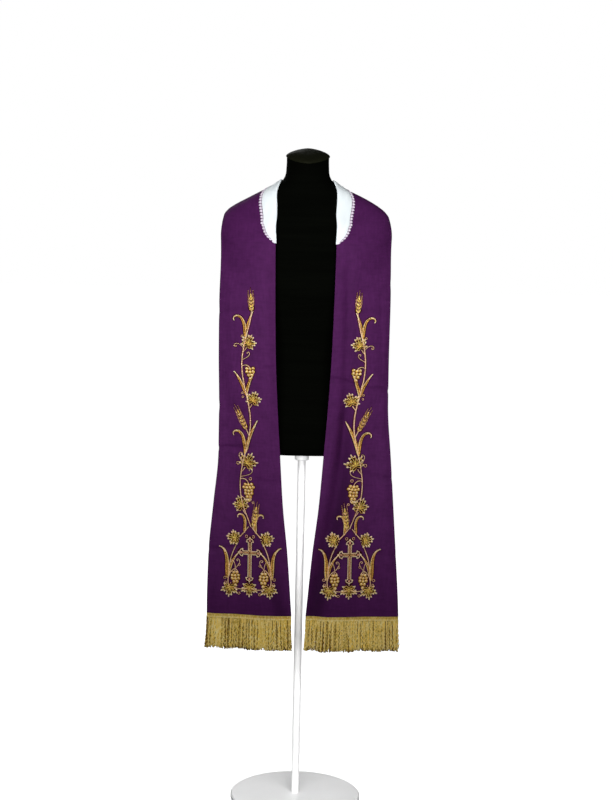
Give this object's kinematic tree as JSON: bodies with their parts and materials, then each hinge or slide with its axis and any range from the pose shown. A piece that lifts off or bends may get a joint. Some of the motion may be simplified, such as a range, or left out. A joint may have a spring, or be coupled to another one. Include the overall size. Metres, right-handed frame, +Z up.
{
  "type": "clerical stole on a limbless dress form",
  "caption": "Long purple clerical stole with embroidered flared fronts, gold fringe hems and a white lace-edged neck guard, laid over a black limbless dress form on a stand.",
  "frame": {"origin": "on the floor, at the centre of the stand base's underside", "axes": "+Z up, the front of the form faces -Y, +X to the right as seen from the front; left and right in node names are as seen from the front"},
  "size_m": [0.4928, 0.34, 1.6967],
  "materials": {
    "purple_cloth": "matt woven purple cloth, soft sheen",
    "white_linen": "matt white linen",
    "lilac_lace": "open lilac-white lace",
    "gold_braid": "metallic gold braid and thread",
    "black_jersey": "matt black stretch jersey",
    "black_cap": "smooth satin black",
    "white_lacquer": "white powder coat"
  },
  "bodies": {
    "root": {"collar": "white_linen", "collar_lace": "lilac_lace", "form_neck_cap": "black_cap", "form_torso": "black_jersey", "fringe_heading_left": "gold_braid", "fringe_heading_right": "gold_braid", "fringe_left": "gold_braid", "fringe_right": "gold_braid", "stand_base": "white_lacquer", "stand_pole": "white_lacquer", "stand_socket": "white_lacquer", "stole_left": "purple_cloth", "stole_right": "purple_cloth"}
  },
  "joints": []
}
